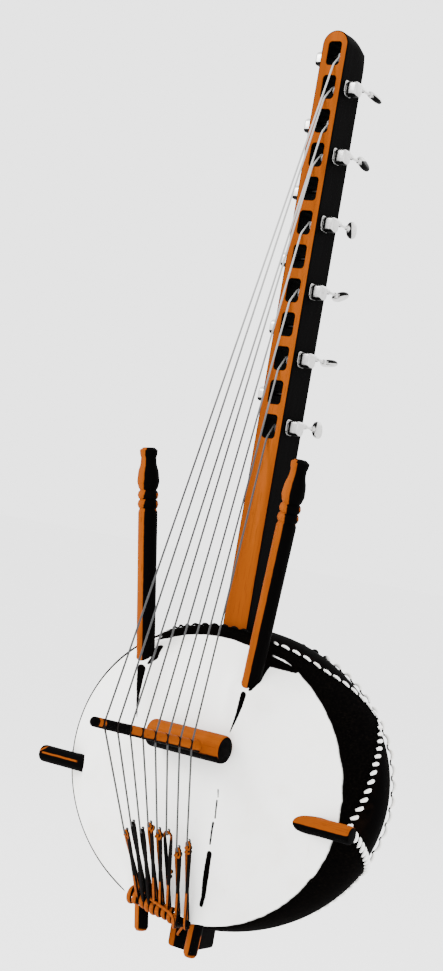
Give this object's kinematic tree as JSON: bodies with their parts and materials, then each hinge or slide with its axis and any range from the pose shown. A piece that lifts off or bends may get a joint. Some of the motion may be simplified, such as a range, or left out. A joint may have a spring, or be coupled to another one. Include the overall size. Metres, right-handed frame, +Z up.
{
  "type": "ngoni harp lute",
  "caption": "Harp lute with a skin-covered half calabash, a slotted neck with worm tuning machines, two turned handles, an upright notched bridge and a wound tail bar.",
  "frame": {"origin": "on the flat back of the neck, 0.1 m above the calabash, where a stand or a wall bracket holds it", "axes": "+Z up along the neck, -Y out of the skin towards the player's view of the strings, +X to the right seen from the front"},
  "size_m": [0.485, 0.547, 1.2186],
  "materials": {
    "neck_wood": "oiled",
    "stick_wood": "oiled",
    "bridge_wood": "oiled",
    "dark_wood": "oiled",
    "gourd": "satin",
    "hide": "dry rawhide",
    "lace": "twisted cord",
    "thong": "waxed",
    "string": "nylon line",
    "machine_metal": "nickel plate",
    "button_metal": "nickel plate",
    "post_metal": "nickel plate"
  },
  "bodies": {
    "instrument": {"neck": "neck_wood", "calabash": "gourd", "skin": "hide", "hem_lacing": "lace", "ring_lacing": "lace", "cross_stick": "stick_wood", "handle_left": "stick_wood", "handle_right": "stick_wood", "bridge_foot": "bridge_wood", "bridge_bar": "bridge_wood", "tail_bar": "dark_wood", "tail_thong": "thong", "string_1": "string", "string_2": "string", "string_3": "string", "string_4": "string", "string_5": "string", "string_6": "string", "string_7": "string", "string_8": "string", "housing_01": "machine_metal", "housing_02": "machine_metal", "housing_03": "machine_metal", "housing_04": "machine_metal", "housing_05": "machine_metal", "housing_06": "machine_metal", "housing_07": "machine_metal", "housing_08": "machine_metal", "housing_09": "machine_metal", "housing_10": "machine_metal", "housing_11": "machine_metal", "housing_12": "machine_metal"},
    "tuner_01": {"button_01": "button_metal"},
    "roller_01": {"post_01": "post_metal"},
    "tuner_02": {"button_02": "button_metal"},
    "roller_02": {"post_02": "post_metal"},
    "tuner_03": {"button_03": "button_metal"},
    "roller_03": {"post_03": "post_metal"},
    "tuner_04": {"button_04": "button_metal"},
    "roller_04": {"post_04": "post_metal"},
    "tuner_05": {"button_05": "button_metal"},
    "roller_05": {"post_05": "post_metal"},
    "tuner_06": {"button_06": "button_metal"},
    "roller_06": {"post_06": "post_metal"},
    "tuner_07": {"button_07": "button_metal"},
    "roller_07": {"post_07": "post_metal"},
    "tuner_08": {"button_08": "button_metal"},
    "roller_08": {"post_08": "post_metal"},
    "tuner_09": {"button_09": "button_metal"},
    "roller_09": {"post_09": "post_metal"},
    "tuner_10": {"button_10": "button_metal"},
    "roller_10": {"post_10": "post_metal"},
    "tuner_11": {"button_11": "button_metal"},
    "roller_11": {"post_11": "post_metal"},
    "tuner_12": {"button_12": "button_metal"},
    "roller_12": {"post_12": "post_metal"}
  },
  "joints": [
    {"name": "button_01_turn", "type": "hinge", "parent": "instrument", "child": "tuner_01", "pos_m": [-0.0273, -0.032, 0.6512], "axis": [0, 1, 0], "continuous": true},
    {"name": "post_01_turn", "type": "hinge", "parent": "instrument", "child": "roller_01", "pos_m": [0, -0.032, 0.6594], "axis": [-1, 0, 0], "continuous": true},
    {"name": "button_02_turn", "type": "hinge", "parent": "instrument", "child": "tuner_02", "pos_m": [0.0273, -0.032, 0.6224], "axis": [0, 1, 0], "continuous": true},
    {"name": "post_02_turn", "type": "hinge", "parent": "instrument", "child": "roller_02", "pos_m": [0, -0.032, 0.6142], "axis": [1, 0, 0], "continuous": true},
    {"name": "button_03_turn", "type": "hinge", "parent": "instrument", "child": "tuner_03", "pos_m": [-0.0273, -0.032, 0.5608], "axis": [0, 1, 0], "continuous": true},
    {"name": "post_03_turn", "type": "hinge", "parent": "instrument", "child": "roller_03", "pos_m": [0, -0.032, 0.569], "axis": [-1, 0, 0], "continuous": true},
    {"name": "button_04_turn", "type": "hinge", "parent": "instrument", "child": "tuner_04", "pos_m": [0.0273, -0.032, 0.532], "axis": [0, 1, 0], "continuous": true},
    {"name": "post_04_turn", "type": "hinge", "parent": "instrument", "child": "roller_04", "pos_m": [0, -0.032, 0.5238], "axis": [1, 0, 0], "continuous": true},
    {"name": "button_05_turn", "type": "hinge", "parent": "instrument", "child": "tuner_05", "pos_m": [-0.0273, -0.032, 0.4704], "axis": [0, 1, 0], "continuous": true},
    {"name": "post_05_turn", "type": "hinge", "parent": "instrument", "child": "roller_05", "pos_m": [0, -0.032, 0.4786], "axis": [-1, 0, 0], "continuous": true},
    {"name": "button_06_turn", "type": "hinge", "parent": "instrument", "child": "tuner_06", "pos_m": [0.0273, -0.032, 0.4416], "axis": [0, 1, 0], "continuous": true},
    {"name": "post_06_turn", "type": "hinge", "parent": "instrument", "child": "roller_06", "pos_m": [0, -0.032, 0.4334], "axis": [1, 0, 0], "continuous": true},
    {"name": "button_07_turn", "type": "hinge", "parent": "instrument", "child": "tuner_07", "pos_m": [-0.0273, -0.032, 0.38], "axis": [0, 1, 0], "continuous": true},
    {"name": "post_07_turn", "type": "hinge", "parent": "instrument", "child": "roller_07", "pos_m": [0, -0.032, 0.3882], "axis": [-1, 0, 0], "continuous": true},
    {"name": "button_08_turn", "type": "hinge", "parent": "instrument", "child": "tuner_08", "pos_m": [0.0273, -0.032, 0.3512], "axis": [0, 1, 0], "continuous": true},
    {"name": "post_08_turn", "type": "hinge", "parent": "instrument", "child": "roller_08", "pos_m": [0, -0.032, 0.343], "axis": [1, 0, 0], "continuous": true},
    {"name": "button_09_turn", "type": "hinge", "parent": "instrument", "child": "tuner_09", "pos_m": [-0.0273, -0.032, 0.2896], "axis": [0, 1, 0], "continuous": true},
    {"name": "post_09_turn", "type": "hinge", "parent": "instrument", "child": "roller_09", "pos_m": [0, -0.032, 0.2978], "axis": [-1, 0, 0], "continuous": true},
    {"name": "button_10_turn", "type": "hinge", "parent": "instrument", "child": "tuner_10", "pos_m": [0.0273, -0.032, 0.2608], "axis": [0, 1, 0], "continuous": true},
    {"name": "post_10_turn", "type": "hinge", "parent": "instrument", "child": "roller_10", "pos_m": [0, -0.032, 0.2526], "axis": [1, 0, 0], "continuous": true},
    {"name": "button_11_turn", "type": "hinge", "parent": "instrument", "child": "tuner_11", "pos_m": [-0.0273, -0.032, 0.1992], "axis": [0, 1, 0], "continuous": true},
    {"name": "post_11_turn", "type": "hinge", "parent": "instrument", "child": "roller_11", "pos_m": [0, -0.032, 0.2074], "axis": [-1, 0, 0], "continuous": true},
    {"name": "button_12_turn", "type": "hinge", "parent": "instrument", "child": "tuner_12", "pos_m": [0.0273, -0.032, 0.1704], "axis": [0, 1, 0], "continuous": true},
    {"name": "post_12_turn", "type": "hinge", "parent": "instrument", "child": "roller_12", "pos_m": [0, -0.032, 0.1622], "axis": [1, 0, 0], "continuous": true}
  ],
  "couplings": [
    {"joint": "post_01_turn", "follows": "button_01_turn", "ratio": 0.066667},
    {"joint": "post_02_turn", "follows": "button_02_turn", "ratio": 0.066667},
    {"joint": "post_03_turn", "follows": "button_03_turn", "ratio": 0.066667},
    {"joint": "post_04_turn", "follows": "button_04_turn", "ratio": 0.066667},
    {"joint": "post_05_turn", "follows": "button_05_turn", "ratio": 0.066667},
    {"joint": "post_06_turn", "follows": "button_06_turn", "ratio": 0.066667},
    {"joint": "post_07_turn", "follows": "button_07_turn", "ratio": 0.066667},
    {"joint": "post_08_turn", "follows": "button_08_turn", "ratio": 0.066667},
    {"joint": "post_09_turn", "follows": "button_09_turn", "ratio": 0.066667},
    {"joint": "post_10_turn", "follows": "button_10_turn", "ratio": 0.066667},
    {"joint": "post_11_turn", "follows": "button_11_turn", "ratio": 0.066667},
    {"joint": "post_12_turn", "follows": "button_12_turn", "ratio": 0.066667}
  ]
}
